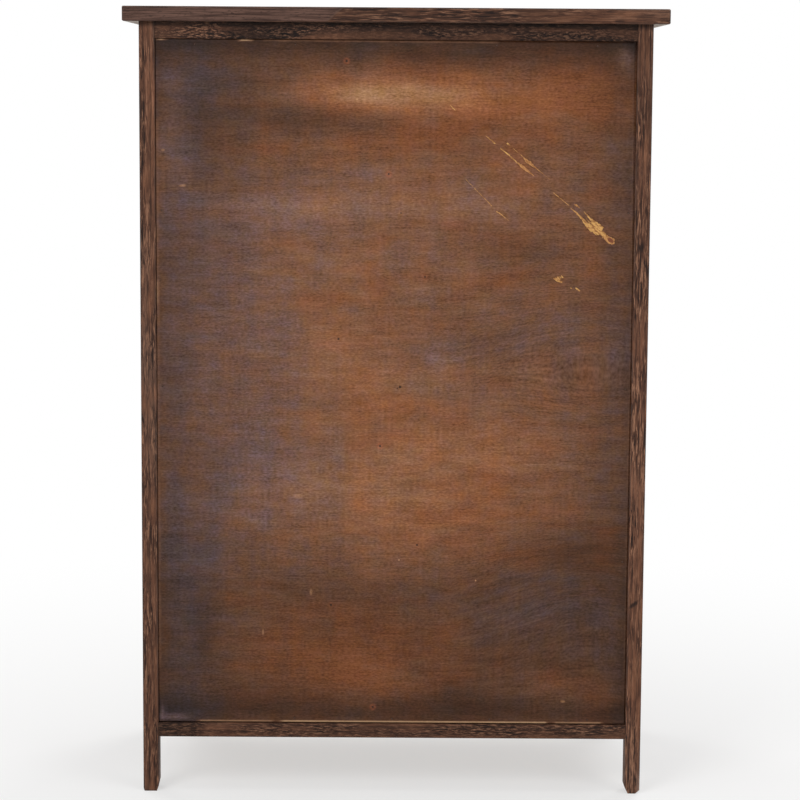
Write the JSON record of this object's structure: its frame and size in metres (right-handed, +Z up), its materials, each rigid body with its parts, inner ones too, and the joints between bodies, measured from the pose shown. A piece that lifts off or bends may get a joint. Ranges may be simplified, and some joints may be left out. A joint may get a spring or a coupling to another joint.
{
  "type": "chest of drawers",
  "caption": "Slim chest of full-width drawers on square posts, with an overhanging top board, charred wood frame and a stained thin back panel.",
  "frame": {"origin": "on the floor, under the middle of the top board", "axes": "+Z up, -Y the drawers' side (front), +X the right as the front is looked at"},
  "size_m": [0.55, 0.3, 0.81],
  "materials": {
    "charred_wood": "charred, brushed and waxed",
    "stained_ply": "dark stained thin plywood, satin",
    "plain_wood": "bare planed light wood",
    "thin_ply": "bare thin plywood",
    "knob_wood": "turned, dark stained, satin",
    "steel": "plain steel"
  },
  "bodies": {
    "carcass": {"top_board": "charred_wood", "post_front_left": "charred_wood", "post_front_right": "charred_wood", "post_back_left": "charred_wood", "post_back_right": "charred_wood", "front_rail_upper": "charred_wood", "front_rail_1": "charred_wood", "front_rail_2": "charred_wood", "front_rail_3": "charred_wood", "front_rail_lower": "charred_wood", "back_rail_upper": "charred_wood", "back_rail_lower": "charred_wood", "side_rail_upper_left": "charred_wood", "side_rail_upper_right": "charred_wood", "side_rail_lower_left": "charred_wood", "side_rail_lower_right": "charred_wood", "back_panel": "stained_ply", "side_panel_left": "stained_ply", "side_panel_right": "stained_ply", "runner_left_1": "plain_wood", "runner_right_1": "plain_wood", "runner_left_2": "plain_wood", "runner_right_2": "plain_wood", "runner_left_3": "plain_wood", "runner_right_3": "plain_wood", "runner_left_4": "plain_wood", "runner_right_4": "plain_wood", "carcass_pins": "steel"},
    "drawer_1": {"drawer_1_front": "charred_wood", "drawer_1_side_left": "plain_wood", "drawer_1_side_right": "plain_wood", "drawer_1_back": "plain_wood", "drawer_1_bottom": "thin_ply", "drawer_1_knob_left": "knob_wood", "drawer_1_knob_right": "knob_wood", "drawer_1_knob_screws": "steel"},
    "drawer_2": {"drawer_2_front": "charred_wood", "drawer_2_side_left": "plain_wood", "drawer_2_side_right": "plain_wood", "drawer_2_back": "plain_wood", "drawer_2_bottom": "thin_ply", "drawer_2_knob_left": "knob_wood", "drawer_2_knob_right": "knob_wood", "drawer_2_knob_screws": "steel"},
    "drawer_3": {"drawer_3_front": "charred_wood", "drawer_3_side_left": "plain_wood", "drawer_3_side_right": "plain_wood", "drawer_3_back": "plain_wood", "drawer_3_bottom": "thin_ply", "drawer_3_knob_left": "knob_wood", "drawer_3_knob_right": "knob_wood", "drawer_3_knob_screws": "steel"},
    "drawer_4": {"drawer_4_front": "charred_wood", "drawer_4_side_left": "plain_wood", "drawer_4_side_right": "plain_wood", "drawer_4_back": "plain_wood", "drawer_4_bottom": "thin_ply", "drawer_4_knob_left": "knob_wood", "drawer_4_knob_right": "knob_wood", "drawer_4_knob_screws": "steel"}
  },
  "joints": [
    {"name": "drawer_1_slide", "type": "slide", "parent": "carcass", "child": "drawer_1", "axis": [0, -1, 0], "range_m": [0, 0.18]},
    {"name": "drawer_2_slide", "type": "slide", "parent": "carcass", "child": "drawer_2", "axis": [0, -1, 0], "range_m": [0, 0.18]},
    {"name": "drawer_3_slide", "type": "slide", "parent": "carcass", "child": "drawer_3", "axis": [0, -1, 0], "range_m": [0, 0.18]},
    {"name": "drawer_4_slide", "type": "slide", "parent": "carcass", "child": "drawer_4", "axis": [0, -1, 0], "range_m": [0, 0.18]}
  ]
}
